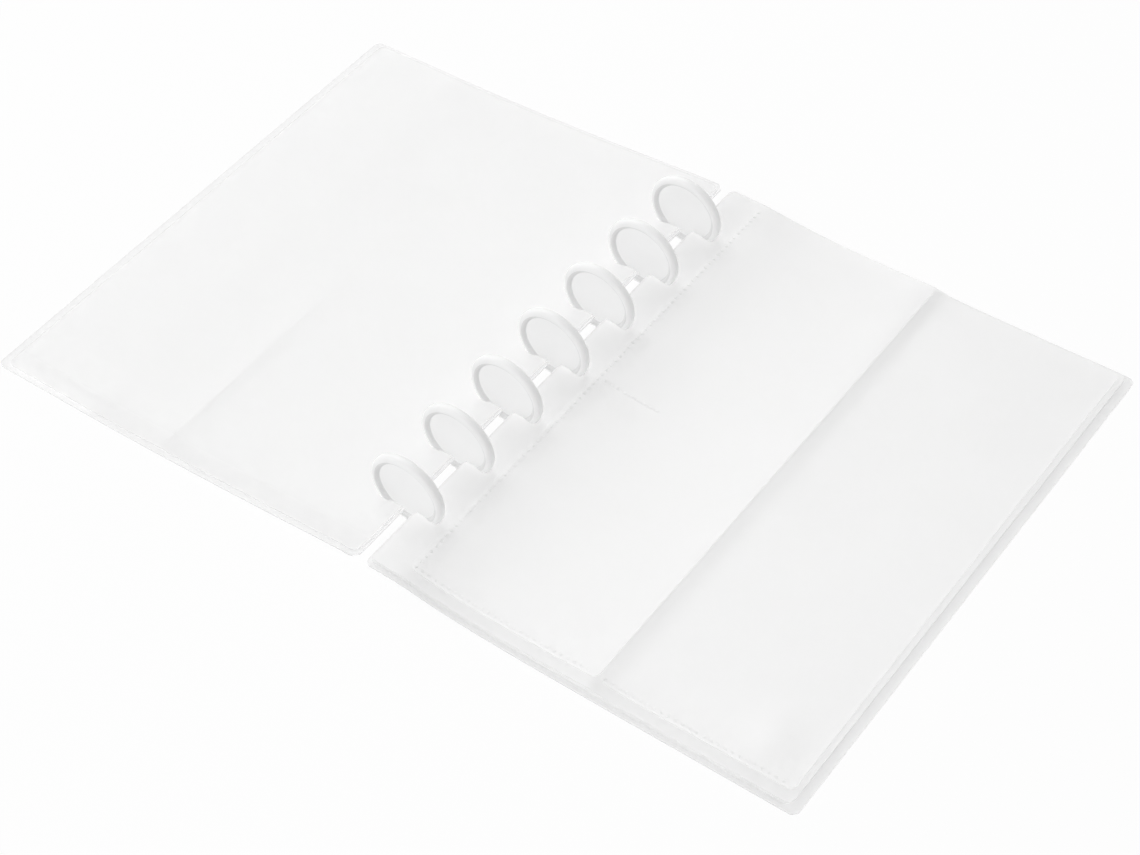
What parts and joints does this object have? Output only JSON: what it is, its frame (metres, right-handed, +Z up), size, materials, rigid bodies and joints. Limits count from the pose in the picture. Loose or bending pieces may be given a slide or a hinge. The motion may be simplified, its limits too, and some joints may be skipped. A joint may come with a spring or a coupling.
{
  "type": "disc-bound photo album",
  "caption": "Open disc-bound photo album of frosted see-through plastic, with slotted covers and pocket pages that turn round the discs.",
  "frame": {"origin": "on the table under the middle of the spine", "axes": "+X across the right-hand leaves, +Y along the spine towards the far edge, +Z up"},
  "size_m": [0.3194, 0.2032, 0.028],
  "materials": {
    "disc_plastic": "smooth moulded milky plastic",
    "cover_sheet": "frosted sheet",
    "page_sheet": "fine frosted film",
    "pocket_film": "soft gloss film"
  },
  "bodies": {
    "back_cover": {"back_cover": "cover_sheet"},
    "front_cover": {"front_cover": "cover_sheet"},
    "page_1": {"page_1_sheet": "page_sheet", "page_1_inner_pockets": "pocket_film", "page_1_outer_pockets": "pocket_film"},
    "page_2": {"page_2_sheet": "page_sheet", "page_2_inner_pockets": "pocket_film", "page_2_outer_pockets": "pocket_film"},
    "page_3": {"page_3_sheet": "page_sheet", "page_3_inner_pockets": "pocket_film", "page_3_outer_pockets": "pocket_film"},
    "page_4": {"page_4_sheet": "page_sheet", "page_4_inner_pockets": "pocket_film", "page_4_outer_pockets": "pocket_film"},
    "disc_1": {"disc_1": "disc_plastic"},
    "disc_2": {"disc_2": "disc_plastic"},
    "disc_3": {"disc_3": "disc_plastic"},
    "disc_4": {"disc_4": "disc_plastic"},
    "disc_5": {"disc_5": "disc_plastic"},
    "disc_6": {"disc_6": "disc_plastic"},
    "disc_7": {"disc_7": "disc_plastic"}
  },
  "joints": [
    {"name": "front_cover_turn", "type": "hinge", "parent": "back_cover", "child": "front_cover", "pos_m": [0, 0, 0.014], "axis": [0, 1, 0], "range_deg": [0, 180]},
    {"name": "page_1_turn", "type": "hinge", "parent": "front_cover", "child": "page_1", "pos_m": [0, 0, 0.014], "axis": [0, 1, 0], "range_deg": [0, 180]},
    {"name": "page_4_turn", "type": "hinge", "parent": "back_cover", "child": "page_4", "pos_m": [0, 0, 0.014], "axis": [0, -1, 0], "range_deg": [0, 180]},
    {"name": "page_3_turn", "type": "hinge", "parent": "page_4", "child": "page_3", "pos_m": [0, 0, 0.014], "axis": [0, -1, 0], "range_deg": [0, 180]},
    {"name": "page_2_turn", "type": "hinge", "parent": "page_3", "child": "page_2", "pos_m": [0, 0, 0.014], "axis": [0, -1, 0], "range_deg": [0, 180]},
    {"name": "disc_1_spin", "type": "hinge", "parent": "back_cover", "child": "disc_1", "pos_m": [0, 0, 0.014], "axis": [0, 1, 0], "continuous": true},
    {"name": "disc_2_spin", "type": "hinge", "parent": "back_cover", "child": "disc_2", "pos_m": [0, 0, 0.014], "axis": [0, 1, 0], "continuous": true},
    {"name": "disc_3_spin", "type": "hinge", "parent": "back_cover", "child": "disc_3", "pos_m": [0, 0, 0.014], "axis": [0, 1, 0], "continuous": true},
    {"name": "disc_4_spin", "type": "hinge", "parent": "back_cover", "child": "disc_4", "pos_m": [0, 0, 0.014], "axis": [0, 1, 0], "continuous": true},
    {"name": "disc_5_spin", "type": "hinge", "parent": "back_cover", "child": "disc_5", "pos_m": [0, 0, 0.014], "axis": [0, 1, 0], "continuous": true},
    {"name": "disc_6_spin", "type": "hinge", "parent": "back_cover", "child": "disc_6", "pos_m": [0, 0, 0.014], "axis": [0, 1, 0], "continuous": true},
    {"name": "disc_7_spin", "type": "hinge", "parent": "back_cover", "child": "disc_7", "pos_m": [0, 0, 0.014], "axis": [0, 1, 0], "continuous": true}
  ]
}
